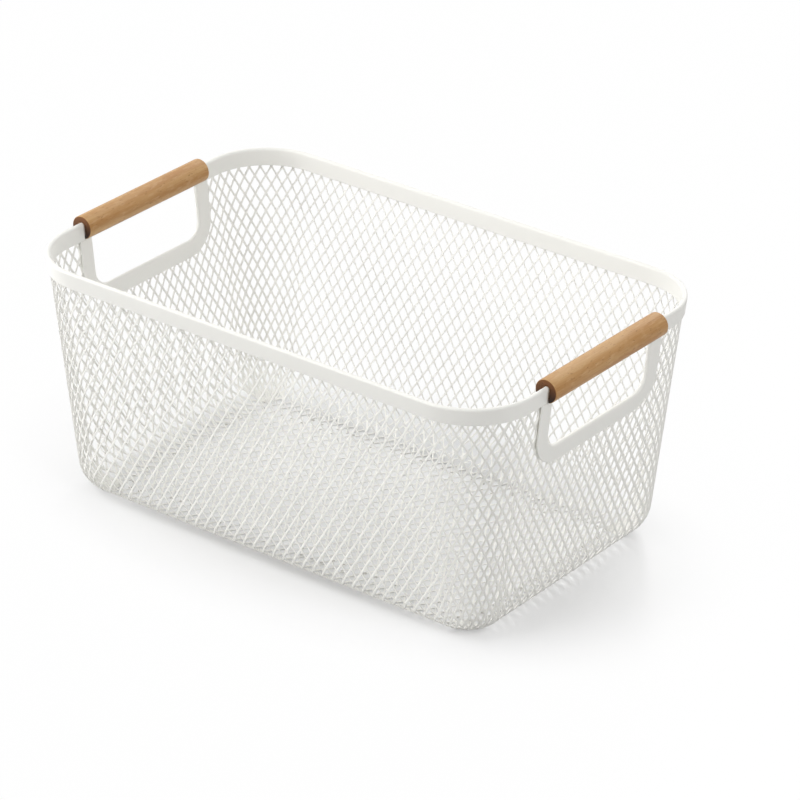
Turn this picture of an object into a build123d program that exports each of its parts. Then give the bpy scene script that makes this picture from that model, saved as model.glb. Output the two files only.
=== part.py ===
"""Mesh storage basket with two wooden grips, modelled as the separate pieces that it is made of.

The basket stands on the XY plane with its long side along X, and the origin is the middle of its foot.
A height is measured up from the floor, and a depth inwards from the outer face of the rim strip.
The walls lean, so a rise is measured up their slope. Their sheet is pressed from diamond mesh: flat
walls and fan-shaped corners, joined to a flat base by a bend. The mesh is drawn with larger diamonds
than the real one, and every strand runs straight from knot to knot, so the sheet is made of flat facets.
"""
from build123d import *
import os
from math import atan, cos, degrees, hypot, radians, sin, tan

# Basket over its rim strip
rim_length = 355.0
rim_width = 229.0
rim_height = 162.0
rim_corner_radius = 44.0
wall_run = 17.5
bend_radius = 22.0

# Mesh sheet
mesh_thickness = 1.2
strand_width = 2.4
long_wall_cells = 8
end_wall_cells = 5
corner_cells = 3
wall_rows = 3
bend_facets = 4
base_columns = 8
base_rows = 3
base_border_width = 3.0

# Folded strips over the edges of the mesh
strip_thickness = 3.2
strip_edge_chamfer = 0.9
groove_depth = 8.0
sheet_clearance = 0.5
edge_clearance = 0.3
rim_strip_width = 11.0
binding_width = 11.0

# Hand openings in the end walls, below the rim strip
opening_side_margin = 21.5
opening_depth = 34.0
opening_corner_radius = 11.0

# Wooden grips over the rim strip
grip_diameter = 15.0
grip_overlap = 7.0
grip_axis_drop = 3.2
grip_end_chamfer = 0.6
slot_side_play = 0.9
seat_clearance = 0.3

# How far a cut runs past the sheet on each side
cut_overrun = 6.0

# Lean of the walls, and where the sheet lies inside the strips
wall_lean = degrees(atan(wall_run / rim_height))
lean = radians(wall_lean)
mesh_depth = (strip_thickness - mesh_thickness) / 2


def inset(height, depth):
    """Horizontal distance from the rim's outline to a face at this height and depth."""
    return (rim_height - height) * tan(lean) + depth / cos(lean)


def rise(height):
    """Way up the slope of a wall to this height."""
    return height / cos(lean)


# Flat stretches between the rounded corners, which are the same at every height
long_flat = rim_length - 2 * rim_corner_radius
end_flat = rim_width - 2 * rim_corner_radius

# Section of the sheet, measured outwards from the upright axis of a corner
foot_reach = rim_corner_radius - inset(0, mesh_depth)
bend_reach = foot_reach + bend_radius * tan(lean) - bend_radius / cos(lean)
bend_turn = 90 - wall_lean
bend_tilt = wall_lean + bend_turn / 2
half_bend = bend_radius * sin(radians(bend_turn / 2))
bend_top = rise(bend_radius * (1 - sin(lean)))

# Edges of the rim strip, and of the sheet inside its groove
strip_bottom_height = rim_height - rim_strip_width
groove_roof_height = strip_bottom_height + groove_depth
strip_bottom = rise(strip_bottom_height)
mesh_top = rise(groove_roof_height - edge_clearance)
row_height = (strip_bottom - bend_top) / wall_rows

# Edges of a hand opening in its binding and in the sheet
opening_width = end_flat - 2 * opening_side_margin
opening_bottom = rise(strip_bottom_height - opening_depth)
sheet_margin = binding_width - groove_depth + edge_clearance

# Axis of a grip, measured outwards like the sheet's section, and its length
grip_length = opening_width + 2 * grip_overlap
grip_height = rim_height - grip_axis_drop
grip_reach = rim_corner_radius - inset(grip_height, strip_thickness / 2)

# Fan of flat facets in a corner, each half a cell wide
corner_facets = 2 * corner_cells
facet_turn = 90 / corner_facets


def outward(angle):
    """Level unit vector that points out of the basket at this angle from +X."""
    return Vector(cos(radians(angle)), sin(radians(angle)), 0)


# Walls that are modelled, each with its opposite one, which is its mirror image: the angle that the
# wall faces, the foot of its section, its length and its cells
right_wall = ("right", "left", Plane.YZ, 0, Vector(long_flat / 2, 0, 0), end_flat, end_wall_cells)
back_wall = ("back", "front", Plane.XZ, 90, Vector(0, end_flat / 2, 0), long_flat, long_wall_cells)

# Upright axis of the corner that is modelled, and the planes that mirror it to the other three
corner_axis = Vector(long_flat / 2, end_flat / 2, 0)
other_corners = [
    ("left_back", [Plane.YZ]),
    ("right_front", [Plane.XZ]),
    ("left_front", [Plane.YZ, Plane.XZ]),
]


def section_plane(axis, angle):
    """Upright plane through a corner's or wall's axis: X outwards, Y up."""
    out = outward(angle)
    return Plane(origin=axis, x_dir=out, z_dir=out.cross(Vector(0, 0, 1)))


def wall_plane(axis, angle):
    """Plane on the outer face of a wall's sheet: X along the wall, Y up its slope from the floor."""
    out = outward(angle)
    normal = out * cos(lean) - Vector(0, 0, sin(lean))
    return Plane(origin=axis + out * foot_reach, x_dir=outward(angle + 90), z_dir=normal)


def bend_plane(axis, angle):
    """Plane on the outer face of the bend, half way between wall and base: X along it, Y up."""
    normal = outward(angle) * cos(radians(bend_tilt)) - Vector(0, 0, sin(radians(bend_tilt)))
    centre = axis + outward(angle) * bend_reach + Vector(0, 0, bend_radius)
    return Plane(origin=centre + normal * bend_radius, x_dir=outward(angle + 90), z_dir=normal)


def foot_plane(axis, angle):
    """Plane on the floor where the bend meets the base: X along the wall, Y outwards."""
    return Plane(origin=axis + outward(angle) * bend_reach, x_dir=outward(angle + 90), z_dir=(0, 0, -1))


def gap_corners(half_width, above, below, half_row):
    """Corners of a diamond gap, which is smaller than its cell by half a strand on every side."""
    open_share = 1 - strand_width / 2 * hypot(half_width, half_row) / (half_width * half_row)
    across = half_width * open_share
    return [(across, 0), (0, above * open_share), (-across, 0), (0, -below * open_share)]


def gap_grid(columns, rows, cell_width, cell_height):
    """Staggered diamond gaps of a flat sheet about the origin, which run past its edges."""
    corners_of_gap = gap_corners(cell_width / 2, cell_height / 2, cell_height / 2, cell_height / 2)
    with BuildSketch() as gaps:
        with GridLocations(cell_width, cell_height, columns + 1, rows + 1):
            Polygon(*corners_of_gap, align=None)
        with GridLocations(cell_width, cell_height, columns, rows):
            Polygon(*corners_of_gap, align=None)
    return gaps.sketch


def opening_outline(margin, top):
    """Hand opening in its wall's plane, grown by a margin at its sides and bottom, up to a rise."""
    half = opening_width / 2 + margin
    bottom = opening_bottom - margin
    with BuildSketch() as outline:
        with BuildLine():
            FilletPolyline(
                (-half, top), (-half, bottom), (half, bottom), (half, top),
                radius=opening_corner_radius + margin,
            )
            Line((-half, top), (half, top))
        make_face()
    return outline.sketch


def sheet_section(top, spread):
    """Outline of the sheet's section, from the base round the bend and up the wall to a rise."""
    outer = []
    inner = []
    for face, radius in ((outer, bend_radius), (inner, bend_radius - mesh_thickness)):
        for step in range(bend_facets + 1):
            turn = radians(bend_turn * step / bend_facets)
            face.append((bend_reach + radius * sin(turn), bend_radius - radius * cos(turn)))
        if top > bend_top:
            reach, height = face[-1]
            face.append((reach + (top - bend_top) * sin(lean), height + (top - bend_top) * cos(lean)))
    return [(reach * spread, height) for reach, height in outer + inner[::-1]]


def foot_outline(border):
    """Outline where the bend meets the base, drawn in by a border."""
    quarter = []
    for station in range(corner_facets + 1):
        point = corner_axis + outward(station * facet_turn) * bend_reach
        quarter.append((point.X - border, point.Y - border))
    back = quarter + [(-x, y) for x, y in quarter[::-1]]
    front = [(x, -y) for x, y in back[::-1]]
    return Polygon(*back, *front, align=None, mode=Mode.PRIVATE)


def corner_facet(axis, angle):
    """One flat strip of a corner's fan, bent towards the base at its foot."""
    with BuildSketch(section_plane(axis, angle)) as section:
        Polygon(*sheet_section(mesh_top, cos(radians(facet_turn / 2))), align=None)
    facet = extrude(section.sketch, amount=bend_radius, both=True, mode=Mode.PRIVATE)
    for side in (-1, 1):
        edge = Plane(origin=axis, z_dir=outward(angle + side * (90 + facet_turn / 2)))
        facet = split(facet, bisect_by=edge, keep=Keep.BOTTOM, mode=Mode.PRIVATE)
    return facet


def rim_block(depth, bottom, top):
    """Block with the basket's leaning outline at this depth, between two heights."""
    step = inset(bottom, depth)
    with BuildSketch(Plane.XY.offset(bottom)) as outline:
        RectangleRounded(rim_length - 2 * step, rim_width - 2 * step, rim_corner_radius - step)
    return extrude(outline.sketch, amount=top - bottom, taper=-wall_lean, mode=Mode.PRIVATE)


os.makedirs("parts", exist_ok=True)

# Rim strip: a folded channel, open below, that takes the top edge of the mesh in its groove
groove_start = mesh_depth - sheet_clearance
groove_end = mesh_depth + mesh_thickness + sheet_clearance
with BuildPart() as rim_strip:
    add(rim_block(0, strip_bottom_height, rim_height))
    add(rim_block(strip_thickness, strip_bottom_height, rim_height), mode=Mode.SUBTRACT)
    chamfer(rim_strip.edges().group_by(Axis.Z)[-1], length=strip_edge_chamfer)
    groove = rim_block(groove_start, strip_bottom_height, groove_roof_height)
    groove -= rim_block(groove_end, strip_bottom_height, groove_roof_height)
    add(groove, mode=Mode.SUBTRACT)
rim_strip.part.label = "rim_strip"
export_step(rim_strip.part, "parts/rim_strip.step")

# Flat mesh of each wall, whose upper edge, and the edge round a hand opening, lie hidden in the strips
for side, opposite, mirror_plane, angle, axis, flat, cells in (right_wall, back_wall):
    with BuildPart() as wall_mesh:
        with BuildSketch(wall_plane(axis, angle)):
            with Locations((0, (bend_top + mesh_top) / 2)):
                Rectangle(flat, mesh_top - bend_top)
            with Locations((0, (bend_top + strip_bottom) / 2)):
                add(gap_grid(cells, wall_rows, flat / cells, row_height), mode=Mode.SUBTRACT)
            with Locations((0, (strip_bottom + mesh_top) / 2)):
                Rectangle(flat, mesh_top - strip_bottom)
            if side == "right":
                add(opening_outline(binding_width, strip_bottom))
                add(opening_outline(sheet_margin, strip_bottom + edge_clearance), mode=Mode.SUBTRACT)
        extrude(amount=-mesh_thickness)
    wall_mesh.part.label = side + "_wall_mesh"
    export_step(wall_mesh.part, "parts/" + side + "_wall_mesh.step")

    with BuildPart() as opposite_wall_mesh:
        mirror(wall_mesh.part, about=mirror_plane)
    opposite_wall_mesh.part.label = opposite + "_wall_mesh"
    export_step(opposite_wall_mesh.part, "parts/" + opposite + "_wall_mesh.step")

# Bend of the mesh at the foot of each wall
half_row = row_height / 2
for side, opposite, mirror_plane, angle, axis, flat, cells in (right_wall, back_wall):
    cell_width = flat / cells
    with BuildPart() as bend_mesh:
        with BuildSketch(section_plane(axis, angle)):
            Polygon(*sheet_section(bend_top, 1), align=None)
        extrude(amount=flat / 2, both=True)
        with BuildSketch(bend_plane(axis, angle)):
            with GridLocations(cell_width, row_height, cells, 1):
                Polygon(*gap_corners(cell_width / 2, half_bend, half_bend, half_row), align=None)
        extrude(amount=cut_overrun, both=True, mode=Mode.SUBTRACT)
        with BuildSketch(wall_plane(axis, angle)):
            with Locations((0, bend_top)):
                with GridLocations(cell_width, row_height, cells + 1, 1):
                    Polygon(*gap_corners(cell_width / 2, 0, half_bend, half_row), align=None)
        extrude(amount=cut_overrun, both=True, mode=Mode.SUBTRACT)
        with BuildSketch(foot_plane(axis, angle)):
            with GridLocations(cell_width, row_height, cells + 1, 1):
                Polygon(*gap_corners(cell_width / 2, half_bend, 0, half_row), align=None)
        extrude(amount=cut_overrun, both=True, mode=Mode.SUBTRACT)
    bend_mesh.part.label = side + "_bend_mesh"
    export_step(bend_mesh.part, "parts/" + side + "_bend_mesh.step")

    with BuildPart() as opposite_bend_mesh:
        mirror(bend_mesh.part, about=mirror_plane)
    opposite_bend_mesh.part.label = opposite + "_bend_mesh"
    export_step(opposite_bend_mesh.part, "parts/" + opposite + "_bend_mesh.step")

# Fan of mesh in each corner, from the base to the rim, whose columns of gaps narrow towards the base
bend_middle = bend_reach + bend_radius * cos(radians(bend_tilt))
with BuildPart() as right_back_corner_mesh:
    for facet in range(corner_facets):
        add(corner_facet(corner_axis, (facet + 0.5) * facet_turn))
    for column in range(corner_facets + 1):
        angle = column * facet_turn
        stagger = column % 2
        with BuildSketch(wall_plane(corner_axis, angle)):
            for row in range(wall_rows + 1 - stagger):
                up = bend_top + (row + stagger / 2) * row_height
                half_width = (foot_reach + up * sin(lean)) * tan(radians(facet_turn))
                above = 0 if up + half_row > mesh_top else half_row
                below = half_bend if up == bend_top else half_row
                with Locations((0, up)):
                    Polygon(*gap_corners(half_width, above, below, half_row), align=None)
        extrude(amount=cut_overrun, both=True, mode=Mode.SUBTRACT)
        if stagger:
            with BuildSketch(bend_plane(corner_axis, angle)):
                half_width = bend_middle * tan(radians(facet_turn))
                Polygon(*gap_corners(half_width, half_bend, half_bend, half_bend), align=None)
            extrude(amount=cut_overrun, both=True, mode=Mode.SUBTRACT)
right_back_corner_mesh.part.label = "right_back_corner_mesh"
export_step(right_back_corner_mesh.part, "parts/right_back_corner_mesh.step")

for corner, mirror_planes in other_corners:
    with BuildPart() as corner_mesh:
        image = right_back_corner_mesh.part
        for mirror_plane in mirror_planes:
            image = mirror(image, about=mirror_plane, mode=Mode.PRIVATE)
        add(image)
    corner_mesh.part.label = corner + "_corner_mesh"
    export_step(corner_mesh.part, "parts/" + corner + "_corner_mesh.step")

# Base sheet, whose solid border is welded to the foot of the walls
base_length = long_flat + 2 * bend_reach
base_width = end_flat + 2 * bend_reach
with BuildPart() as base_mesh:
    with BuildSketch():
        add(foot_outline(0))
        gaps = gap_grid(base_columns, base_rows, base_length / base_columns, base_width / base_rows)
        add(foot_outline(base_border_width) & gaps, mode=Mode.SUBTRACT)
    extrude(amount=mesh_thickness)
base_mesh.part.label = "base_mesh"
export_step(base_mesh.part, "parts/base_mesh.step")

# Binding round each hand opening: a folded strip that takes the mesh in its outer edge
opening_plane = wall_plane(Vector(long_flat / 2, 0, 0), 0)
with BuildPart() as right_opening_binding:
    with BuildSketch(opening_plane.offset(mesh_depth)):
        add(opening_outline(binding_width, mesh_top))
        add(opening_outline(0, mesh_top), mode=Mode.SUBTRACT)
    extrude(amount=-strip_thickness)
    inner_arcs = right_opening_binding.edges().filter_by(GeomType.CIRCLE).group_by(SortBy.RADIUS)[0]
    chamfer(inner_arcs, length=strip_edge_chamfer)
    with BuildSketch(opening_plane.offset(sheet_clearance)):
        add(opening_outline(binding_width, mesh_top))
        add(opening_outline(binding_width - groove_depth, mesh_top), mode=Mode.SUBTRACT)
    extrude(amount=-mesh_thickness - 2 * sheet_clearance, mode=Mode.SUBTRACT)
    split(bisect_by=Plane.XY.offset(strip_bottom_height), keep=Keep.BOTTOM)
right_opening_binding.part.label = "right_opening_binding"
export_step(right_opening_binding.part, "parts/right_opening_binding.step")

with BuildPart() as left_opening_binding:
    mirror(right_opening_binding.part, about=Plane.YZ)
left_opening_binding.part.label = "left_opening_binding"
export_step(left_opening_binding.part, "parts/left_opening_binding.step")

# Wooden grip over the rim strip at each hand opening, with a slot from below that takes the strip
grip_plane = section_plane(Vector(long_flat / 2, 0, 0), 0)
slot_half = (strip_thickness / 2 + slot_side_play) / cos(lean)
slot_top = rim_height + seat_clearance
slot_bottom = grip_height - grip_diameter
top_reach = grip_reach + (slot_top - grip_height) * tan(lean)
bottom_reach = grip_reach + (slot_bottom - grip_height) * tan(lean)
with BuildPart() as right_grip:
    with BuildSketch(grip_plane):
        with Locations((grip_reach, grip_height)):
            Circle(grip_diameter / 2)
    extrude(amount=grip_length / 2, both=True)
    chamfer(right_grip.edges().filter_by(GeomType.CIRCLE), length=grip_end_chamfer)
    with BuildSketch(grip_plane):
        Polygon(
            (bottom_reach + slot_half, slot_bottom), (top_reach + slot_half, slot_top),
            (top_reach - slot_half, slot_top), (bottom_reach - slot_half, slot_bottom),
            align=None,
        )
    extrude(amount=grip_length, both=True, mode=Mode.SUBTRACT)
right_grip.part.label = "right_grip"
export_step(right_grip.part, "parts/right_grip.step")

with BuildPart() as left_grip:
    mirror(right_grip.part, about=Plane.YZ)
left_grip.part.label = "left_grip"
export_step(left_grip.part, "parts/left_grip.step")
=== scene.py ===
"""White mesh storage basket with two beech grips: its looks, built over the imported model.

The file is laid out as an add-on. The panel lists one operator for each group of pieces and one for
the stage, and their sizes and colours are the properties that it shows. Lengths are in metres.

The basket's outline is followed by a station that counts mesh cells round the walls, and its section
by a way in metres, which starts at the foot line, goes round the bend and runs up the leaning wall.
"""

import math

import bpy
import numpy as np
from bpy.props import FloatProperty, FloatVectorProperty, PointerProperty
from bpy.types import Operator, Panel, PropertyGroup
from mathutils import Matrix, Vector


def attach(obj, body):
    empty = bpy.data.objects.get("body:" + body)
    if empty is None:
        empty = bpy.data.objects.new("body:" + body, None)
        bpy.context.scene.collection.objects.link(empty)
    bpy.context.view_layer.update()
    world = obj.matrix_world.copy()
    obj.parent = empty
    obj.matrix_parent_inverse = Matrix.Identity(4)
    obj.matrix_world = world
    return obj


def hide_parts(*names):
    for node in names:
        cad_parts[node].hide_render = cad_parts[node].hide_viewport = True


bl_info = {
    "name": "Mesh Storage Basket",
    "version": (1, 0, 0),
    "blender": (4, 5, 0),
    "location": "3D View > Sidebar > Basket",
    "description": "Builds the diamond mesh, the folded strips, the wooden grips and the stage",
    "category": "Add Mesh",
}

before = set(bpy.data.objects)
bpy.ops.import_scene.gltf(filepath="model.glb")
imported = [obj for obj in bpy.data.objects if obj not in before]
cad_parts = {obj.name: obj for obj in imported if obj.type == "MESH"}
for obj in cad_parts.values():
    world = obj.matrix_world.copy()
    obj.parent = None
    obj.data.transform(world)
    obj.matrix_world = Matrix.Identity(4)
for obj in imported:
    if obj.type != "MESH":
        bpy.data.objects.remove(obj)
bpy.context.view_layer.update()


def linear(colour):
    """Linear colour of an sRGB hex number such as 0xF0EEE8, by the standard's two-part curve."""
    parts = [((colour >> shift) & 255) / 255 for shift in (16, 8, 0)]
    return tuple(part / 12.92 if part <= 0.04045 else ((part + 0.055) / 1.055) ** 2.4 for part in parts)


def length(name, default, description):
    """Length property in metres."""
    return FloatProperty(
        name=name, description=description, default=default, min=0, unit="LENGTH", precision=4
    )


def colour(name, default, description):
    """Colour property whose default is an sRGB hex number."""
    return FloatVectorProperty(
        name=name, description=description, default=linear(default), subtype="COLOR", min=0, max=1
    )


class BasketSizes(PropertyGroup):
    """Sizes of the basket's shell."""

    rim_length: length("Rim length", 0.355, "Outer length over the rim strip")
    rim_width: length("Rim width", 0.229, "Outer width over the rim strip")
    rim_height: length("Rim height", 0.162, "Height of the rim above the floor")
    corner_radius: length("Corner radius", 0.044, "Outer radius of the rim's corners")
    wall_run: length("Wall run", 0.0175, "How far a wall leans out between floor and rim")
    bend_radius: length("Bend radius", 0.022, "Outer radius of the bend between wall and base")
    strip_thickness: length("Strip thickness", 0.0032, "Thickness of the folded strips")
    strip_sheet: length("Strip sheet", 0.0009, "Thickness of the sheet that the strips are folded from")
    strip_width: length("Strip width", 0.011, "Width of the folded strips")
    opening_width: length("Opening width", 0.098, "Width of a hand opening")
    opening_depth: length("Opening depth", 0.034, "Depth of a hand opening below the rim strip")
    opening_radius: length("Opening radius", 0.011, "Radius of a hand opening's lower corners")


class MeshSizes(PropertyGroup):
    """Sizes of the diamond mesh."""

    row_pitch: length("Row pitch", 0.01205, "Height of a diamond up the wall")
    long_cells: FloatProperty(name="Long wall cells", description="Diamonds along a long wall", default=35)
    end_cells: FloatProperty(name="End wall cells", description="Diamonds along an end wall", default=18.5)
    corner_cells: FloatProperty(name="Corner cells", description="Diamonds round a corner", default=9)
    base_pitch_x: length("Base pitch across", 0.0080, "Width of a diamond of the base")
    base_pitch_y: length("Base pitch along", 0.0128, "Length of a diamond of the base")
    strand_width: length("Strand width", 0.0015, "Width of a strand")
    strand_thickness: length("Strand thickness", 0.0005, "Thickness of a strand")
    strand_tilt: FloatProperty(
        name="Strand tilt", description="Turn of each strand out of the sheet", default=math.radians(17),
        subtype="ANGLE",
    )
    base_thickness: length("Base thickness", 0.00025, "Thickness of the base sheet, rolled nearly flat")
    base_tilt: FloatProperty(
        name="Base strand tilt", description="Turn of each strand of the base, which is rolled nearly flat",
        default=math.radians(1), subtype="ANGLE",
    )
    foot_overlap: length("Foot overlap", 0.005, "How far the walls' foot runs in over the base sheet")
    weld_length: length("Weld row length", 0.275, "Length of the rectangle of weld marks")
    weld_width: length("Weld row width", 0.140, "Width of the rectangle of weld marks")
    weld_spacing: length("Weld spacing", 0.0068, "Mean step from one weld mark to the next")
    weld_radius: length("Weld mark radius", 0.0014, "Radius of the largest weld mark")


class GripSizes(PropertyGroup):
    """Sizes of the wooden grips."""

    diameter: length("Diameter", 0.01496, "Diameter of a grip")
    grip_length: length("Length", 0.112, "Length of a grip")
    axis_drop: length("Axis drop", 0.0032, "How far a grip's axis lies below the rim")
    edge_radius: length("Edge radius", 0.0006, "Rounding of a grip's edges")
    slot_play: length("Slot play", 0.0009, "Play at each side of the rim strip in a grip's slot")
    seat_clearance: length("Seat clearance", 0.0003, "Play between the rim's top and a grip's slot")


class Finishes(PropertyGroup):
    """Colours of the finishes."""

    coat: colour("Coat", 0xECEBE6, "Powder coat of the mesh and strips")
    # The weld marks' darker grey is painted shade, for the dark crevices where the base sheet meets the
    # walls' foot
    weld: colour("Weld marks", 0xBCBAB4, "Powder coat greyed by the weld marks")
    wood: colour("Wood", 0xBE9766, "Beech, the wide growth bands")
    wood_band: colour("Wood band", 0xAC7E4B, "Beech, the darker growth bands")
    wood_light: colour("Wood mottle", 0xC7A377, "Beech, the pale pinkish mottle")
    wood_fleck: colour("Wood fleck", 0x845A34, "Beech, the short flecks along the grain")
    # The end grain's dark colour is mostly painted shade: with the top colour it draws the end darkening
    # from brown at the top of the bar to nearly black at the slot's mouth
    wood_end_painted_shade: colour("Wood end", 0x1C0C03, "Beech, the end grain by the slot")
    wood_end_top: colour("Wood end top", 0x74461C, "Beech, the end grain at the top of the bar")
    floor: colour("Floor", 0xE2E2E2, "Floor under the basket")
    floor_bounce: colour("Floor bounce", 0xC8C8C8, "Floor as it lights the basket from below")


class Shell:
    """Places on the basket's shell, worked out from the sizes as whole arrays."""

    def __init__(self, sizes, mesh):
        self.radius = sizes.corner_radius
        self.long_half = sizes.rim_length / 2 - self.radius
        self.end_half = sizes.rim_width / 2 - self.radius
        self.height = sizes.rim_height
        self.lean = math.atan(sizes.wall_run / sizes.rim_height)
        steps = [mesh.end_cells, mesh.corner_cells, mesh.long_cells, mesh.corner_cells] * 2
        self.stations = np.concatenate([[0], np.cumsum(steps)])
        self.lift = mesh.strand_thickness / 2 + math.tan(mesh.strand_tilt) * mesh.strand_width / 2
        self.bend_turn = math.pi / 2 - self.lean
        self.mid_radius = sizes.bend_radius - mesh.strand_thickness / 2
        foot_reach = self.reach(0, sizes.strip_thickness / 2) + sizes.bend_radius * math.tan(self.lean)
        self.bend_reach = foot_reach - self.mid_radius / math.cos(self.lean)
        self.bend_way = self.mid_radius * self.bend_turn

    def reach(self, height, depth):
        """Way outwards from a corner's axis to a face of the leaning wall: the rim's radius, less the
        lean's run below the rim, less the depth square to the wall."""
        return self.radius - (self.height - height) * math.tan(self.lean) - depth / math.cos(self.lean)

    def around(self, station):
        """Axis point x, y and outward angle at a station: straight between the ends of each flat and
        corner, so that the axis moves along a flat and the angle turns in a corner."""
        station = np.mod(station, self.stations[-1])
        x, y = self.long_half, self.end_half
        quarter = math.pi / 2
        xs = [x, x, x, -x, -x, -x, -x, x, x]
        ys = [-y, y, y, y, y, -y, -y, -y, -y]
        turns = [0, 0, quarter, quarter, 2 * quarter, 2 * quarter, 3 * quarter, 3 * quarter, 4 * quarter]
        return (
            np.interp(station, self.stations, xs),
            np.interp(station, self.stations, ys),
            np.interp(station, self.stations, turns),
        )

    def place(self, station, reach, height):
        """Point at a station, a reach outwards from its axis and a height: axis + reach * direction."""
        x, y, turn = self.around(station)
        parts = np.broadcast_arrays(x + reach * np.cos(turn), y + reach * np.sin(turn), height)
        return np.stack(parts, axis=-1)

    def section(self, way):
        """Reach and height of the sheet's middle, and its outward normal, at a way from the foot line:
        flat before it, then an arc of the bend's radius, then straight up the leaning wall."""
        turn = np.clip(way / self.mid_radius, 0, self.bend_turn)
        rest = way - turn * self.mid_radius
        reach = self.bend_reach + self.mid_radius * np.sin(turn) + rest * np.cos(turn)
        height = self.lift + self.mid_radius * (1 - np.cos(turn)) + rest * np.sin(turn)
        return reach, height, np.sin(turn), -np.cos(turn)

    def way_up(self, height):
        """Way at which the sheet reaches a height on the wall."""
        top = self.lift + self.mid_radius * (1 - math.cos(self.bend_turn))
        return self.bend_way + (height - top) / math.cos(self.lean)

    def sheet(self, station, way, out):
        """Point of the sheet at a station and way, moved out along the sheet's normal."""
        reach, height, across, up = self.section(way)
        return self.place(station, reach + out * across, height + out * up)


def new_object(name, points, faces, material):
    """Smooth mesh object on the body root, from whole arrays: points (n, 3) and faces as a list of index
    arrays, each with faces of one number of corners."""
    mesh = bpy.data.meshes.new(name)
    sizes = np.concatenate([np.full(len(part), part.shape[1]) for part in faces])
    loops = np.concatenate([part.ravel() for part in faces])
    mesh.vertices.add(len(points))
    mesh.vertices.foreach_set("co", np.asarray(points, np.float32).ravel())
    mesh.loops.add(len(loops))
    mesh.loops.foreach_set("vertex_index", loops.astype(np.int32))
    mesh.polygons.add(len(sizes))
    starts = np.concatenate([[0], np.cumsum(sizes)[:-1]])
    mesh.polygons.foreach_set("loop_start", starts.astype(np.int32))
    mesh.polygons.foreach_set("use_smooth", np.ones(len(sizes), bool))
    mesh.update(calc_edges=True)
    mesh.validate()
    mesh.materials.append(material)
    piece = bpy.data.objects.new(name, mesh)
    bpy.context.scene.collection.objects.link(piece)
    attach(piece, "root")
    return piece


# Steps along each side of a mesh cell's rhombus, and points of the whole ring
RING_STEPS = 3
RING = 4 * RING_STEPS

# Power of the curve round a gap, where 1 is a plain rhombus, and how much wider the curve is drawn so
# that the strands keep their width
GAP_POWER = 1.07
GAP_WIDENING = 1.04

# How soon a strand's tilt is full: at 1 part in this many of the way from a cell's middle line to its
# side knots
TILT_STEEPNESS = 2.4

# Section of a strand from its crest in front over the gap's edge to its crest behind: the places
# between crest and edge, and the heights in halves of the thickness
STRAND_PLACES = (0, 0.84, 1, 1, 0.84, 0)
STRAND_HEIGHTS = (1, 1, 0.68, -0.68, -1, -1)


def cell_ring():
    """Outer ring on the rhombus |a| + |b| = 1, and through each of its points the point of the gap's
    edge, on the curve |a|^p + |b|^p = 1."""
    share = np.arange(RING) / RING_STEPS
    quarter = np.floor(share).astype(int)
    along = share - quarter
    corners = np.array([(1, 0), (0, 1), (-1, 0), (0, -1), (1, 0)], float)
    outer = corners[quarter] * (1 - along[:, None]) + corners[quarter + 1] * along[:, None]
    size = (np.abs(outer) ** GAP_POWER).sum(axis=1, keepdims=True) ** (1 / GAP_POWER)
    return outer, outer / size


def band_faces(index):
    """Quads of closed bands: index (n, m, k) holds n pieces with m rings of k points, in order."""
    after = np.roll(index, -1, axis=2)
    quads = np.stack([index[:, :-1], after[:, :-1], after[:, 1:], index[:, 1:]], axis=-1)
    return quads.reshape(-1, 4)


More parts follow.
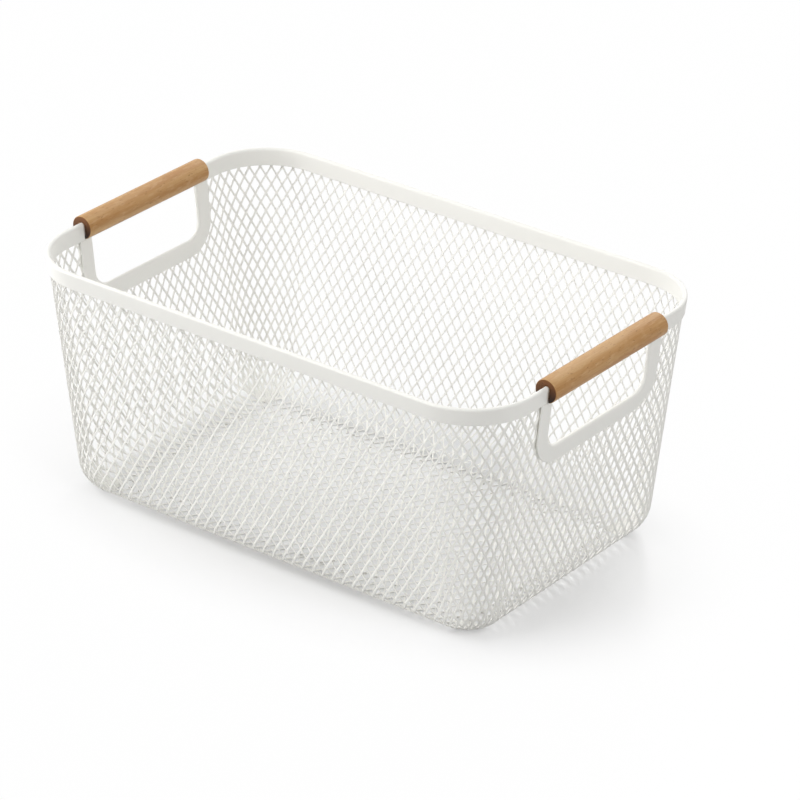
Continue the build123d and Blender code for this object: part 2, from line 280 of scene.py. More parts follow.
def diamond_cells(centres, half_width, half_height, strand, thickness, tilt):
    """Points and faces of staggered mesh cells in the lattice's own coordinates.

    Each cell is a frame round its gap. Across the frame the surface runs from the strand's crest on
    the rhombus to the gap's edge and back to the crest behind. The tilt turns each strand about its
    crest: the edge at the right of a gap sinks by half the strand's width times the tangent of the
    tilt, the edge at its left rises as much, and the tilt turns over near its upper and lower knots.
    Returns the lattice places, the offsets along the sheet's normal, the faces, with the crests shared
    by neighbouring cells, and how many faces at the end of them close the sheet's cut edge.
    """
    outer, gap = cell_ring()
    open_share = 1 - strand / 2 * np.hypot(half_width, half_height) / (half_width * half_height)
    open_share = np.clip(open_share * GAP_WIDENING, 0.1, 0.95)[:, None, None]
    levels = np.array(STRAND_PLACES)
    rounds = np.array(STRAND_HEIGHTS) * thickness / 2
    edge = gap[None] * open_share
    share = levels[None, :, None, None]
    ring = outer[None, None] * (1 - share) + edge[:, None] * share
    lean = -np.clip(outer[:, 0] * TILT_STEEPNESS, -1, 1) * math.tan(tilt) * strand / 2
    out = rounds[None, :, None] + levels[None, :, None] * lean[None, None, :]
    out = np.broadcast_to(out, ring.shape[:3])
    places = centres[:, None, None, :] + ring / 2

    count, depth = len(centres), len(levels)
    index = np.arange(count * depth * RING).reshape(count, depth, RING)
    quads = band_faces(index)

    # Crests of neighbours are one point: they are keyed by their place on the lattice and their side
    crest = np.round(centres[:, None, :] * 2 * RING_STEPS + outer[None] * RING_STEPS).astype(np.int64)
    keys = []
    for side in (0, 1):
        keys.append(np.concatenate([crest, np.full(crest.shape[:2] + (1,), side)], axis=2).reshape(-1, 3))
    every = np.concatenate([index[:, 0].ravel(), index[:, -1].ravel()])
    _, first, inverse = np.unique(np.concatenate(keys), axis=0, return_index=True, return_inverse=True)
    merge = np.arange(count * depth * RING)
    merge[every] = every[first][inverse.ravel()]
    quads = merge[quads]

    # Edge of the sheet: a crest that belongs to one cell is closed from front to back
    front = merge[index[:, 0]]
    back = merge[index[:, -1]]
    pairs = np.stack([front, np.roll(front, -1, axis=1)], axis=-1).reshape(-1, 2)
    backs = np.stack([back, np.roll(back, -1, axis=1)], axis=-1).reshape(-1, 2)
    _, which, uses = np.unique(np.sort(pairs, axis=1), axis=0, return_inverse=True, return_counts=True)
    single = uses[which.ravel()] == 1
    rims = np.stack([pairs[single, 1], pairs[single, 0], backs[single, 0], backs[single, 1]], axis=-1)
    faces = np.concatenate([quads, rims])
    used, packed = np.unique(faces, return_inverse=True)
    return places.reshape(-1, 2)[used], out.reshape(-1)[used], packed.reshape(faces.shape), len(rims)


def staggered(low, high, bottom, top):
    """Centres of staggered cells with low <= station < high and bottom <= row <= top."""
    centres = []
    for shift in (0, 0.5):
        across = np.arange(math.ceil(low - shift), math.ceil(high - shift)) + shift
        rows = np.arange(math.ceil(bottom - shift), math.floor(top - shift) + 1) + shift
        centres.append(np.stack(np.meshgrid(across, rows, indexing="ij"), axis=-1).reshape(-1, 2))
    return np.concatenate(centres)


def sharpen(piece, rims):
    """Marks the faces of the sheet's cut edge, which come last, as sharp all round."""
    mesh = piece.data
    total = len(mesh.polygons)
    first = mesh.polygons[total - rims].loop_start if rims else len(mesh.loops)
    edges = np.zeros(len(mesh.loops), np.int32)
    mesh.loops.foreach_get("edge_index", edges)
    sharp = np.zeros(len(mesh.edges), bool)
    sharp[edges[first:]] = True
    mark = mesh.attributes.new("sharp_edge", "BOOLEAN", "EDGE")
    mark.data.foreach_set("value", sharp)


def settings():
    """The scene's property groups: basket, mesh, grips and finishes."""
    scene = bpy.context.scene
    return scene.basket_sizes, scene.basket_mesh, scene.basket_grips, scene.basket_finishes


def per_metre(millimetres):
    """Scale of a noise whose grains are this many millimetres long, on coordinates in metres."""
    return 1000 / millimetres


def add_node(tree, kind, place=(0, 0), links=(), **values):
    """New node with its settings and the defaults of its sockets by name, and its links, each as the
    node's own socket, the node that it comes from and that node's output."""
    node = tree.nodes.new(kind)
    node.location = place
    for name, value in values.items():
        if hasattr(node, name):
            setattr(node, name, value)
        else:
            node.inputs[name.replace("_", " ")].default_value = value
    for socket, source, output in links:
        tree.links.new(source.outputs[output], node.inputs[socket])
    return node


def new_material(name):
    """Material with an empty node tree, or None for the tree where the material is there already."""
    found = bpy.data.materials.get(name)
    if found:
        return found, None
    material = bpy.data.materials.new(name)
    material.use_nodes = True
    material.node_tree.nodes.clear()
    return material, material.node_tree


def powder_coat(name, tint):
    """Polyester powder coat, sprayed and baked on steel: one opaque off-white with a satin gloss.

    The powder melts into a faint orange peel, which softens the highlights. Real peel is about 0.5 mm
    from crest to crest, too fine for a render of 0.66 mm to the pixel, so it is drawn at 1.5 mm. The
    gloss drifts a little over 15 mm, where the coat ran thicker or thinner.
    """
    material, tree = new_material(name)
    if tree is None:
        return material
    place = add_node(tree, "ShaderNodeTexCoord", (-900, 0))
    on_piece = [("Vector", place, "Object")]
    peel = add_node(tree, "ShaderNodeTexNoise", (-650, -200), on_piece, Scale=per_metre(1.5), Detail=2.0)
    drift = add_node(tree, "ShaderNodeTexNoise", (-650, 100), on_piece, Scale=per_metre(15), Detail=3.0)
    gloss = add_node(
        tree, "ShaderNodeMapRange", (-400, 100), [("Value", drift, "Fac")], To_Min=0.42, To_Max=0.56
    )
    bump = add_node(
        tree, "ShaderNodeBump", (-400, -200), [("Height", peel, "Fac")], Strength=0.12, Distance=0.0001
    )
    shader = add_node(
        tree, "ShaderNodeBsdfPrincipled", (0, 0),
        [("Roughness", gloss, "Result"), ("Normal", bump, "Normal")],
        Base_Color=(*tint, 1), Specular_IOR_Level=0.4,
    )
    add_node(tree, "ShaderNodeOutputMaterial", (300, 0), [("Surface", shader, "BSDF")])
    return material


def oiled_beech(finishes):
    """Beech, turned, sanded and oiled: a warm tan with a dull sheen, its grain along Y.

    Growth bands show as soft darker stripes about 5 mm wide, with fine streaks in them and a pinkish
    mottle of about 2 by 8 mm. The rays cut by the turning show as short dark flecks. Real flecks are
    0.3 mm wide and are drawn 0.8 mm wide, as coarse as the render needs. The end grain drinks the oil,
    so it is darker than the side grain, and painted shade darkens it by height, from brown at the top of
    the bar to nearly black at the mouth of the slot.
    """
    material, tree = new_material("oiled_beech")
    if tree is None:
        return material
    place = add_node(tree, "ShaderNodeTexCoord", (-1500, 0))

    # Noise of each pattern: millimetres across and along the grain, and its octaves
    patterns = {}
    for row, (name, across, along, detail) in enumerate((
        ("bands", 5.0, 100.0, 3.0), ("mottle", 2.2, 8.0, 2.0), ("streaks", 0.9, 20.0, 2.0),
        ("flecks", 0.8, 3.4, 1.0), ("sparse", 4.0, 12.0, 2.0),
    )):
        grain = add_node(
            tree, "ShaderNodeMapping", (-1250, 500 - 250 * row), [("Vector", place, "Object")],
            Rotation=(0.06, 0.0, 0.05), Scale=(per_metre(across), per_metre(along), per_metre(across)),
        )
        patterns[name] = add_node(
            tree, "ShaderNodeTexNoise", (-1050, 500 - 250 * row), [("Vector", grain, "Vector")],
            Scale=1.0, Detail=detail, Roughness=0.55,
        )

    # Each pattern lays its colour over the last by a share that rises between two levels of its noise
    tint = None
    for row, (name, low, high, share, laid) in enumerate((
        ("bands", 0.36, 0.64, 1.0, finishes.wood_band), ("mottle", 0.50, 0.72, 0.55, finishes.wood_light),
        ("streaks", 0.45, 0.75, 0.45, finishes.wood_band), ("flecks", 0.60, 0.72, 0.6, finishes.wood_fleck),
    )):
        amount = add_node(
            tree, "ShaderNodeMapRange", (-800, 500 - 250 * row), [("Value", patterns[name], "Fac")],
            From_Min=low, From_Max=high, To_Max=share,
        )
        source = ("Factor", amount, "Result")
        if name == "flecks":
            gate = add_node(
                tree, "ShaderNodeMapRange", (-800, -500), [("Value", patterns["sparse"], "Fac")],
                From_Min=0.42, From_Max=0.6,
            )
            few = add_node(
                tree, "ShaderNodeMath", (-600, -300), [(0, amount, "Result"), (1, gate, "Result")],
                operation="MULTIPLY",
            )
            source = ("Factor", few, "Value")
        under = [("A", tint, "Result")] if tint else []
        tint = add_node(
            tree, "ShaderNodeMix", (-400 + 170 * row, 300), [source, *under], data_type="RGBA",
            A=(*finishes.wood, 1), B=(*laid, 1),
        )

    # End grain: where the normal points along the grain, darker from the oil, with painted shade by height,
    # brown at the top of the bar and nearly black below
    normal = add_node(tree, "ShaderNodeSeparateXYZ", (-800, -750), [("Vector", place, "Normal")])
    along = add_node(tree, "ShaderNodeMath", (-600, -750), [(0, normal, "Y")], operation="ABSOLUTE")
    ends = add_node(
        tree, "ShaderNodeMapRange", (-400, -750), [("Value", along, "Value")], From_Min=0.8, From_Max=0.97
    )
    spot = add_node(tree, "ShaderNodeSeparateXYZ", (-800, -950), [("Vector", place, "Object")])
    # Painted shade: the end grain's colour goes by height alone, dark at 0.153 m and brown from 0.166 m
    high = add_node(
        tree, "ShaderNodeMapRange", (-600, -950), [("Value", spot, "Z")], From_Min=0.153, From_Max=0.166
    )
    end_grain_with_painted_shade = add_node(
        tree, "ShaderNodeMix", (-400, -950), [("Factor", high, "Result")], data_type="RGBA",
        A=(*finishes.wood_end_painted_shade, 1), B=(*finishes.wood_end_top, 1),
    )
    tint = add_node(
        tree, "ShaderNodeMix", (350, 200),
        [("Factor", ends, "Result"), ("A", tint, "Result"), ("B", end_grain_with_painted_shade, "Result")], data_type="RGBA",
    )

    streaks = patterns["streaks"]
    rough = add_node(
        tree, "ShaderNodeMapRange", (350, -50), [("Value", streaks, "Fac")], To_Min=0.45, To_Max=0.65
    )
    bump = add_node(
        tree, "ShaderNodeBump", (350, -300), [("Height", streaks, "Fac")], Strength=0.3, Distance=0.00015
    )
    shader = add_node(
        tree, "ShaderNodeBsdfPrincipled", (600, 0),
        [("Base Color", tint, "Result"), ("Roughness", rough, "Result"), ("Normal", bump, "Normal")],
        Specular_IOR_Level=0.3, Sheen_Weight=0.15, Sheen_Roughness=0.4,
    )
    add_node(tree, "ShaderNodeOutputMaterial", (900, 0), [("Surface", shader, "BSDF")])
    return material


class BASKET_OT_wall_mesh(Operator):
    """Builds the diamond mesh of the walls, corners and bends, one piece for each part of the sheet"""

    bl_idname = "basket.wall_mesh"
    bl_label = "Wall Mesh"

    def execute(self, context):
        sizes, mesh, _, finishes = settings()
        shell = Shell(sizes, mesh)
        material = powder_coat("white_powder_coat", finishes.coat)
        pitch = mesh.row_pitch
        # Centres stop at the strip's lower edge, so that the last tips end inside its groove
        top_way = shell.way_up(sizes.rim_height - sizes.strip_width)
        foot_row = -mesh.foot_overlap / pitch
        top_row = top_way / pitch
        split_row = shell.bend_way / pitch
        stations = shell.stations
        names = ("right", "right_back", "back", "left_back", "left", "left_front", "front", "right_front")
        opening_bottom = shell.way_up(sizes.rim_height - sizes.strip_width - sizes.opening_depth)
        over = sizes.strip_width / 2
        least_reach = 0.0005
        for number, name in enumerate(names):
            low, high = stations[number], stations[number + 1]
            corner = "_" in name
            if corner:
                groups = [(name + "_corner_mesh", foot_row, top_row)]
            else:
                groups = [
                    (name + "_wall_mesh", split_row, top_row), (name + "_bend_mesh", foot_row, split_row)
                ]
            for node, bottom, top in groups:
                centres = staggered(low, high, bottom, top)
                centres = centres[centres[:, 1] > bottom]
                y = shell.around(centres[:, 0])[1]
                reach = shell.section(centres[:, 1] * pitch)[0]
                if corner:
                    # A corner's cells narrow towards its axis, where a least reach keeps their width
                    half_width = np.maximum(reach, least_reach) * math.pi / 4 / mesh.corner_cells
                else:
                    flat = 2 * (shell.end_half if name in ("left", "right") else shell.long_half)
                    half_width = np.full(len(centres), flat / (high - low) / 2)
                # The cells round a hand opening reach half way into its binding
                if node in ("left_wall_mesh", "right_wall_mesh"):
                    inside = (np.abs(y) < sizes.opening_width / 2 + over) & (
                        centres[:, 1] * pitch > opening_bottom - over
                    )
                    centres, half_width = centres[~inside], half_width[~inside]
                places, out, faces, rims = diamond_cells(
                    centres, half_width, np.full(len(centres), pitch / 2),
                    mesh.strand_width, mesh.strand_thickness, mesh.strand_tilt,
                )
                points = shell.sheet(places[:, 0], places[:, 1] * pitch, out)
                piece = new_object("mesh_" + node, points, [faces], material)
                sharpen(piece, rims)
                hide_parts(node)
        return {"FINISHED"}


class BASKET_OT_base_mesh(Operator):
    """Builds the diamond mesh of the base sheet, inside the foot of the walls"""

    bl_idname = "basket.base_mesh"
    bl_label = "Base Mesh"

    def execute(self, context):
        sizes, mesh, _, finishes = settings()
        shell = Shell(sizes, mesh)
        across, along = mesh.base_pitch_x, mesh.base_pitch_y
        half_x = shell.long_half + shell.bend_reach
        half_y = shell.end_half + shell.bend_reach
        centres = staggered(-half_x / across, half_x / across, -half_y / along, half_y / along)
        inside = (np.abs(centres[:, 0]) * across < half_x - across / 2) & (
            np.abs(centres[:, 1]) * along < half_y - along / 2
        )
        centres = centres[inside]
        count = len(centres)
        places, out, faces, rims = diamond_cells(
            centres, np.full(count, across / 2), np.full(count, along / 2),
            mesh.strand_width, mesh.base_thickness, mesh.base_tilt,
        )
        floor_play = 0.0001
        height = mesh.base_thickness / 2 + floor_play
        points = np.stack([places[:, 0] * across, places[:, 1] * along, height + out], axis=-1)
        piece = new_object("mesh_base", points, [faces], powder_coat("white_powder_coat", finishes.coat))
        sharpen(piece, rims)
        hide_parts("base_mesh")
        return {"FINISHED"}


class BASKET_OT_weld_marks(Operator):
    """Builds the row of small weld marks that holds the base sheet on the walls' foot; their darker grey
    coat is painted shade for the crevices at that seam
    """

    bl_idname = "basket.weld_marks"
    bl_label = "Weld Marks"

    def execute(self, context):
        _, mesh, _, finishes = settings()
        chance = np.random.default_rng(11)
        half_x, half_y = mesh.weld_length / 2, mesh.weld_width / 2

        # Uneven steps along a rectangle, each then moved to the nearest knot of the base sheet, which
        # is a place whose half steps across and along add up to an odd number
        round_way = 4 * (half_x + half_y)
        most = 400  # More steps than the rectangle holds
        way = np.cumsum(chance.uniform(0.5, 1.5, most)) * mesh.weld_spacing
        way = way[way < round_way]
        turns = np.cumsum([0, 2 * half_x, 2 * half_y, 2 * half_x, 2 * half_y])
        x = np.interp(way, turns, [-half_x, half_x, half_x, -half_x, -half_x])
        y = np.interp(way, turns, [-half_y, -half_y, half_y, half_y, -half_y])
        across = np.round(2 * x / mesh.base_pitch_x).astype(int)
        odd = 1 - np.abs(across) % 2
        along = 2 * np.round((2 * y / mesh.base_pitch_y - odd) / 2).astype(int) + odd
        knots = np.unique(np.stack([across, along], axis=-1), axis=0)
        spots = knots * (mesh.base_pitch_x / 2, mesh.base_pitch_y / 2)
        scatter = 0.0003
        spots = spots + chance.normal(0, scatter, spots.shape)

        # Low dome on each: rings of radius r * cos(a) at height flatness * r * sin(a), with a flat face
        # over the last ring and one under the first
        sides = 10
        flatness = 0.2
        radius = chance.uniform(0.6, 1.0, len(spots)) * mesh.weld_radius
        rise = np.array([-0.2, 0.2, 0.5, 0.9, 1.3])
        level = np.stack([np.cos(rise), flatness * np.sin(rise)], axis=-1)
        turn = np.arange(sides) * 2 * math.pi / sides
        ring = radius[:, None, None] * level[None, :, :1]
        x = spots[:, 0, None, None] + ring * np.cos(turn)
        y = spots[:, 1, None, None] + ring * np.sin(turn)
        height = mesh.base_thickness + radius[:, None, None] * level[None, :, 1:]
        domes = np.stack(np.broadcast_arrays(x, y, height), axis=-1)
        index = np.arange(domes[..., 0].size).reshape(domes.shape[:3])
        faces = [band_faces(index), index[:, 0, ::-1], index[:, -1]]
        # Painted shade: the marks are coated a darker grey to stand for the shadowed crevices at the seam
        material = powder_coat("weld_coat_painted_shade", finishes.weld)
        piece = new_object("weld_marks", domes.reshape(-1, 3), faces, material)
        return {"FINISHED"}


# How far a folded strip is closed below its folded edge, the points round its fold, and the turn
# between two faces from which their edge is shaded as sharp
STRIP_CLOSED = 0.003
FOLD_POINTS = 13
STRIP_SHARP = math.radians(50)


def strip_profile(sizes):
    """Closed outline of a folded strip, as depth across it and distance from its folded edge.

    The fold is half round. Its two lips run from the fold to the open edge, where they are rounded by a
    quarter of the sheet, and the gap between them ends at a short way below the fold.
    """
    thickness, width, sheet = sizes.strip_thickness, sizes.strip_width, sizes.strip_sheet
    radius = thickness / 2
    turns = np.linspace(math.pi, 0, FOLD_POINTS)
    lip = 0.25 * sheet
    fold = np.stack([radius + radius * np.cos(turns), radius - radius * np.sin(turns)], axis=-1)
    far = [
        (thickness, width - lip), (thickness - lip, width), (thickness - sheet + lip, width),
        (thickness - sheet, width - lip), (thickness - sheet, STRIP_CLOSED), (sheet, STRIP_CLOSED),
        (sheet, width - lip), (sheet - lip, width), (lip, width), (0, width - lip),
    ]
    shares = (0.06, 0.5, 0.94)
    middle_out = [(thickness, radius + (width - radius) * share) for share in shares]
    middle_in = [(0, radius + (width - radius) * share) for share in shares[::-1]]
    return np.array([*fold, *middle_out, *far, *middle_in])


def loft(rings, closed):
    """Quads between rings of equal count: rings (n, m, 3), joined end to start where closed, and else
    with each end filled by one face."""
    count, width = rings.shape[:2]
    index = np.arange(count * width).reshape(count, width)
    nexts = np.roll(index, -1, axis=0) if closed else index[1:]
    starts = index if closed else index[:-1]
    quads = np.stack([starts, np.roll(starts, -1, axis=1), np.roll(nexts, -1, axis=1), nexts], axis=-1)
    faces = [quads.reshape(-1, 4)]
    if not closed:
        faces += [index[:1, ::-1], index[-1:]]
    return rings.reshape(-1, 3), faces


def outward_faces(piece):
    """Turns the faces of a closed piece outwards, where its signed volume is negative."""
    mesh = piece.data
    mesh.calc_loop_triangles()
    points = np.zeros(len(mesh.vertices) * 3)
    mesh.vertices.foreach_get("co", points)
    corners = np.zeros(len(mesh.loop_triangles) * 3, np.int32)
    mesh.loop_triangles.foreach_get("vertices", corners)
    a, b, c = points.reshape(-1, 3)[corners.reshape(-1, 3)].transpose(1, 0, 2)
    if np.einsum("ij,ij->", a, np.cross(b, c)) < 0:
        mesh.flip_normals()


class BASKET_OT_rim_strip(Operator):
    """Builds the folded strip over the top edge of the mesh"""

    bl_idname = "basket.rim_strip"
    bl_label = "Rim Strip"

    def execute(self, context):
        sizes, mesh, _, finishes = settings()
        shell = Shell(sizes, mesh)
        profile = strip_profile(sizes)
        flat_steps, corner_steps = 8, 28
        stations = []
        for number, (low, high) in enumerate(zip(shell.stations[:-1], shell.stations[1:])):
            steps = corner_steps if number % 2 else flat_steps
            stations.append(np.linspace(low, high, steps, endpoint=False))
        stations = np.concatenate(stations)
        height = sizes.rim_height - profile[:, 1]
        reach = shell.reach(height, profile[:, 0])
        rings = shell.place(stations[:, None], reach[None, :], height[None, :])
        points, faces = loft(rings, True)
        piece = new_object("strip_rim", points, faces, powder_coat("white_powder_coat", finishes.coat))
        outward_faces(piece)
        piece.data.set_sharp_from_angle(angle=STRIP_SHARP)
        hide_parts("rim_strip")
        return {"FINISHED"}


class BASKET_OT_opening_bindings(Operator):
    """Builds the folded strip round each hand opening"""

    bl_idname = "basket.opening_bindings"
    bl_label = "Opening Bindings"

    def execute(self, context):
        sizes, mesh, _, finishes = settings()
        shell = Shell(sizes, mesh)
        lean = shell.lean
        profile = strip_profile(sizes)
        radius = sizes.opening_radius
        half = sizes.opening_width / 2 - radius
        seam = sizes.rim_height - sizes.strip_width
        bottom = (seam - sizes.opening_depth) / math.cos(lean) + radius
        depth, beyond = profile[:, 0], profile[:, 1]
        top = (seam - depth * math.sin(lean)) / math.cos(lean)

        # Ways round the U: down one leg, a quarter turn, along the bottom, a quarter turn, up the leg
        leg_steps, corner_points = 4, 15
        leg = np.linspace(0, 1, leg_steps, endpoint=False)
        turns = np.linspace(0, math.pi / 2, corner_points)
        rings = []
        for share in leg:
            rings.append((np.full(len(depth), -half - radius) - beyond, top + (bottom - top) * share))
        for turn in turns:
            across, down = (radius + beyond) * math.cos(turn), (radius + beyond) * math.sin(turn)
            rings.append((-half - across, bottom - down))
        for turn in turns[::-1]:
            across, down = (radius + beyond) * math.cos(turn), (radius + beyond) * math.sin(turn)
            rings.append((half + across, bottom - down))
        for share in leg[::-1]:
            rings.append((np.full(len(depth), half + radius) + beyond, top + (bottom - top) * share))
        along = np.array([ring[0] for ring in rings])
        slope = np.array([ring[1] for ring in rings])
        height = slope * math.cos(lean) + depth[None] * math.sin(lean)
        reach = shell.long_half + shell.reach(height, depth[None])
        material = powder_coat("white_powder_coat", finishes.coat)
        for side, sign in (("right", 1), ("left", -1)):
            points, faces = loft(np.stack([sign * reach, along, height], axis=-1), False)
            piece = new_object("strip_" + side + "_opening", points, faces, material)
            outward_faces(piece)
            piece.data.set_sharp_from_angle(angle=STRIP_SHARP)
            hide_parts(side + "_opening_binding")
        return {"FINISHED"}


class BASKET_OT_grips(Operator):
    """Builds the slotted wooden grip over the rim at each hand opening"""

    bl_idname = "basket.grips"
    bl_label = "Wooden Grips"

    def execute(self, context):
        sizes, mesh, grips, finishes = settings()
        shell = Shell(sizes, mesh)
        lean = shell.lean
        radius = grips.diameter / 2
        axis_height = sizes.rim_height - grips.axis_drop
        axis_reach = shell.long_half + shell.reach(axis_height, sizes.strip_thickness / 2)
        slot_half = (sizes.strip_thickness / 2 + grips.slot_play) / math.cos(lean)
        slot_top = grips.axis_drop + grips.seat_clearance

        # Section round the axis: over the top of the round bar, from one edge of the slot's mouth to the
        # other, then up one side of the slot and down the other. The mouth's edges are eased by a turn
        # and a rise, and the slot's upper corners are rounded
        eased_turn, eased_rise = 0.03, 0.0004
        mouth = math.asin(slot_half / radius)
        first = -math.pi / 2 + mouth + eased_turn
        last = 3 * math.pi / 2 - mouth - eased_turn
        round_points = 73
        turns = np.linspace(first, last, round_points)
        round_part = np.stack([radius * np.cos(turns), radius * np.sin(turns)], axis=-1)
        low = -radius * math.cos(mouth) + eased_rise
        corner = 0.0018
        bows = np.linspace(0, math.pi / 2, 5)
        left = [(-slot_half, low + (slot_top - corner - low) * share) for share in (0, 0.33, 0.66)]
        side_in, side_up = -slot_half + corner, slot_top - corner
        arc_left = [(side_in - corner * math.cos(b), side_up + corner * math.sin(b)) for b in bows]
        arc_right = [(-x, y) for x, y in arc_left[::-1]]
        right = [(-x, y) for x, y in left[::-1]]
        slot_part = np.array([*left, *arc_left, *arc_right, *right])
        slot_part[:, 0] += slot_part[:, 1] * math.tan(lean)
        outline = np.concatenate([round_part, slot_part])

        # The ends are rounded: near each end the round part draws in towards the axis by the edge's
        # radius less its share of a quarter turn
        inwards = np.zeros(outline.shape)
        inwards[:len(round_part)] = round_part / radius
        edge = grips.edge_radius
        half = grips.grip_length / 2
        bend = np.linspace(0, math.pi / 2, 6)
        middle = np.linspace(-half + edge, half - edge, 9)[1:-1]
        ends = half - edge + edge * np.cos(bend)
        draw = edge - edge * np.sin(bend)
        stations = np.concatenate([-ends, middle, ends[::-1]])
        draws = np.concatenate([draw, np.zeros(len(middle)), draw[::-1]])
        section = outline[None] - inwards[None] * draws[:, None, None]
        stations = stations[:, None]
        for side, sign in (("right", 1), ("left", -1)):
            x = sign * (axis_reach + section[..., 0])
            z = axis_height + section[..., 1]
            points, faces = loft(np.stack(np.broadcast_arrays(x, stations, z), axis=-1), False)
            piece = new_object("grip_" + side, points, faces, oiled_beech(finishes))
            outward_faces(piece)
            piece.data.set_sharp_from_angle(angle=math.radians(40))
            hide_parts(side + "_grip")
        return {"FINISHED"}


# Side of each square lamp, and the middle of the basket that the lamps are turned to
LAMP_SIZE = 1.2
LAMP_TARGET = Vector((0, 0, 0.08))


def soft_light(name, place, power):
    """Square area lamp at a place, turned to the middle of the basket."""
    data = bpy.data.lights.new(name, "AREA")
    data.size = LAMP_SIZE
    data.energy = power
    lamp = bpy.data.objects.new(name, data)
    direction = LAMP_TARGET - Vector(place)
    lamp.rotation_euler = direction.to_track_quat("-Z", "Y").to_euler()
    lamp.location = place
    bpy.context.scene.collection.objects.link(lamp)


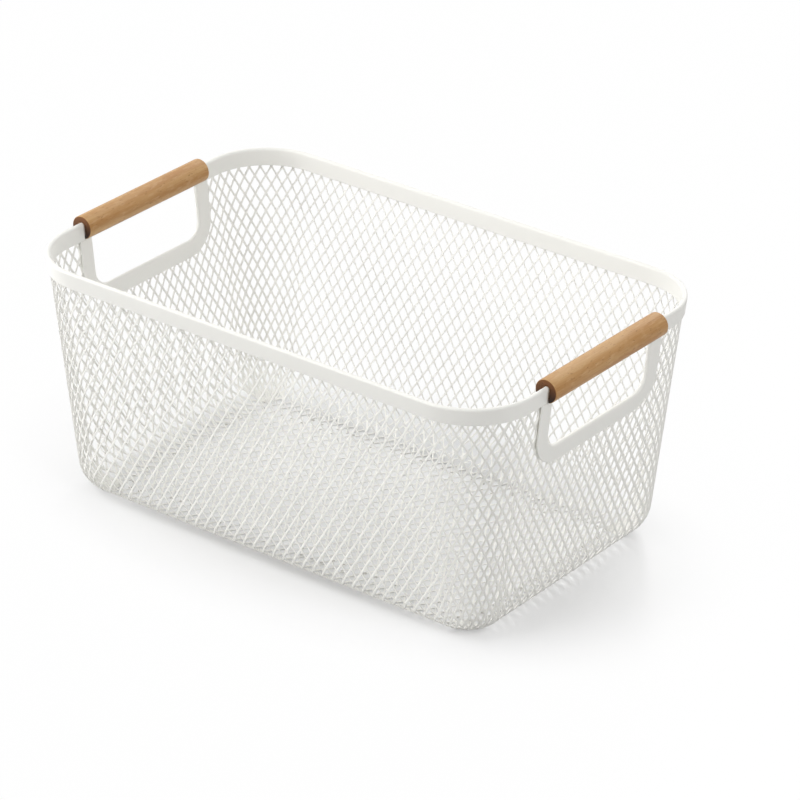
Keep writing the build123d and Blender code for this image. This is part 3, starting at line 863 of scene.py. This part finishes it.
class BASKET_OT_stage(Operator):
    """Builds the pale floor, the soft studio light and the camera"""

    bl_idname = "basket.stage"
    bl_label = "Stage"

    def execute(self, context):
        scene = context.scene
        finishes = settings()[3]
        scene.view_settings.view_transform = "Standard"

        # Floor: a plain pale sheet with a faint gloss. Seen by the camera it fades to white away from the
        # basket, so the less white oval round the basket is partly painted shadow
        half = 3.0
        points = np.array([(-half, -half, 0), (half, -half, 0), (half, half, 0), (-half, half, 0)])
        mesh = bpy.data.meshes.new("floor")
        mesh.from_pydata(points.tolist(), [], [(0, 1, 2, 3)])
        floor = bpy.data.objects.new("floor", mesh)
        scene.collection.objects.link(floor)
        material, tree = new_material("pale_floor")
        path = add_node(tree, "ShaderNodeLightPath", (-700, 200))
        bounce = add_node(
            tree, "ShaderNodeMix", (-400, 100), [("Factor", path, "Is Diffuse Ray")], data_type="RGBA",
            A=(*finishes.floor, 1), B=(*finishes.floor_bounce, 1),
        )
        shader = add_node(
            tree, "ShaderNodeBsdfPrincipled", (-100, 100), [("Base Color", bounce, "Result")],
            Roughness=0.3, Specular_IOR_Level=0.35,
        )
        # Seen by the camera, it turns to plain white between 0.14 m and 0.27 m from the basket's middle,
        # with the way along Y counted 1.65 times, so that the oval follows the foot. Inside the oval the
        # floor shows its lit tone and the lamps' real shadow; the oval's soft edge is painted shadow round
        # the basket
        spot = add_node(tree, "ShaderNodeTexCoord", (-1100, -300))
        oval = add_node(
            tree, "ShaderNodeMapping", (-900, -300), [("Vector", spot, "Object")], Scale=(1.0, 1.65, 1.0)
        )
        away = add_node(
            tree, "ShaderNodeVectorMath", (-700, -300), [(0, oval, "Vector")], operation="LENGTH"
        )
        painted_shadow_fade = add_node(
            tree, "ShaderNodeMapRange", (-500, -300), [("Value", away, "Value")],
            interpolation_type="SMOOTHSTEP", From_Min=0.14, From_Max=0.27, To_Min=0.0, To_Max=0.97,
        )
        share = add_node(
            tree, "ShaderNodeMath", (-300, -200), [(0, path, "Is Camera Ray"), (1, painted_shadow_fade, "Result")],
            operation="MULTIPLY",
        )
        white = add_node(tree, "ShaderNodeEmission", (-100, -300), Color=(1, 1, 1, 1), Strength=1.0)
        blend = add_node(
            tree, "ShaderNodeMixShader", (200, 0),
            [("Fac", share, "Value"), (1, shader, "BSDF"), (2, white, "Emission")],
        )
        add_node(tree, "ShaderNodeOutputMaterial", (400, 0), [("Surface", blend, "Shader")])
        mesh.materials.append(material)

        world = bpy.data.worlds.new("studio")
        scene.world = world
        world.use_nodes = True
        tree = world.node_tree
        tree.nodes.clear()
        path = add_node(tree, "ShaderNodeLightPath", (-400, 200))
        seen = add_node(
            tree, "ShaderNodeMath", (-200, 200), [(0, path, "Is Camera Ray"), (1, path, "Is Glossy Ray")],
            operation="MAXIMUM",
        )
        soft = add_node(tree, "ShaderNodeBackground", (0, 0), Color=(1, 1, 1, 1), Strength=0.18)
        white = add_node(tree, "ShaderNodeBackground", (0, -150), Color=(1, 1, 1, 1), Strength=1.0)
        mix = add_node(
            tree, "ShaderNodeMixShader", (200, 0),
            [("Fac", seen, "Value"), (1, soft, "Background"), (2, white, "Background")],
        )
        add_node(tree, "ShaderNodeOutputWorld", (400, 0), [("Surface", mix, "Shader")])

        soft_light("high_light", (-0.6, -1.0, 2.1), 18)
        soft_light("left_light", (-2.2, -0.5, 1.2), 25)
        soft_light("front_light", (-1.5, -1.9, 0.6), 25)
        soft_light("right_light", (1.9, -0.3, 1.4), 23)
        soft_light("back_light", (-0.4, 1.9, 1.5), 24)

        # Camera: its turn, its distance from a place that it looks past, its focal length in pixels and
        # its shift in pixels, as fitted to the outlines of the rim, the foot and the openings
        azimuth, elevation, roll = math.radians(36.78), math.radians(27.46), math.radians(0.91)
        distance, focal, shift = 2.7376, 4149.3, (-48.63, 17.08)
        centre = Vector((-0.06839, 0.17868, -0.03208))
        film, picture = 36, 800
        flat = math.cos(elevation)
        right = Vector((math.cos(azimuth), math.sin(azimuth), 0))
        back = Vector((math.sin(azimuth) * flat, -math.cos(azimuth) * flat, math.sin(elevation)))
        up = back.cross(right)
        turned_right = math.cos(roll) * right + math.sin(roll) * up
        turned_up = math.cos(roll) * up - math.sin(roll) * right
        data = bpy.data.cameras.new("camera")
        data.sensor_width = film
        data.lens = focal / picture * film
        data.shift_x = shift[0] / picture
        data.shift_y = shift[1] / picture
        data.clip_end = 20
        camera = bpy.data.objects.new("camera", data)
        rotation = Matrix((turned_right, turned_up, back)).transposed().to_4x4()
        camera.matrix_world = Matrix.Translation(centre + back * distance) @ rotation
        scene.collection.objects.link(camera)
        scene.camera = camera
        return {"FINISHED"}


class BASKET_PT_panel(Panel):
    """Panel in the sidebar with the pieces and their sizes"""

    bl_label = "Mesh Storage Basket"
    bl_idname = "BASKET_PT_panel"
    bl_space_type = "VIEW_3D"
    bl_region_type = "UI"
    bl_category = "Basket"

    def draw(self, context):
        layout = self.layout
        for group in settings():
            box = layout.box()
            for name in group.bl_rna.properties.keys():
                if name not in ("rna_type", "name"):
                    box.prop(group, name)
        for operator in OPERATORS:
            layout.operator(operator.bl_idname)


OPERATORS = (
    BASKET_OT_wall_mesh, BASKET_OT_base_mesh, BASKET_OT_weld_marks, BASKET_OT_rim_strip,
    BASKET_OT_opening_bindings, BASKET_OT_grips, BASKET_OT_stage,
)
GROUPS = (
    ("basket_sizes", BasketSizes), ("basket_mesh", MeshSizes), ("basket_grips", GripSizes),
    ("basket_finishes", Finishes),
)


def register():
    """Registers the classes and hangs the property groups on the scene."""
    for name, group in GROUPS:
        bpy.utils.register_class(group)
        setattr(bpy.types.Scene, name, PointerProperty(type=group))
    for kind in (*OPERATORS, BASKET_PT_panel):
        bpy.utils.register_class(kind)


def unregister():
    """Takes the classes and the property groups away again."""
    for kind in (BASKET_PT_panel, *reversed(OPERATORS)):
        bpy.utils.unregister_class(kind)
    for name, group in reversed(GROUPS):
        delattr(bpy.types.Scene, name)
        bpy.utils.unregister_class(group)


def main():
    """Builds every piece and the stage."""
    register()
    bpy.ops.basket.wall_mesh()
    bpy.ops.basket.base_mesh()
    bpy.ops.basket.weld_marks()
    bpy.ops.basket.rim_strip()
    bpy.ops.basket.opening_bindings()
    bpy.ops.basket.grips()
    bpy.ops.basket.stage()
    bpy.context.view_layer.update()


if __name__ == "__main__":
    main()
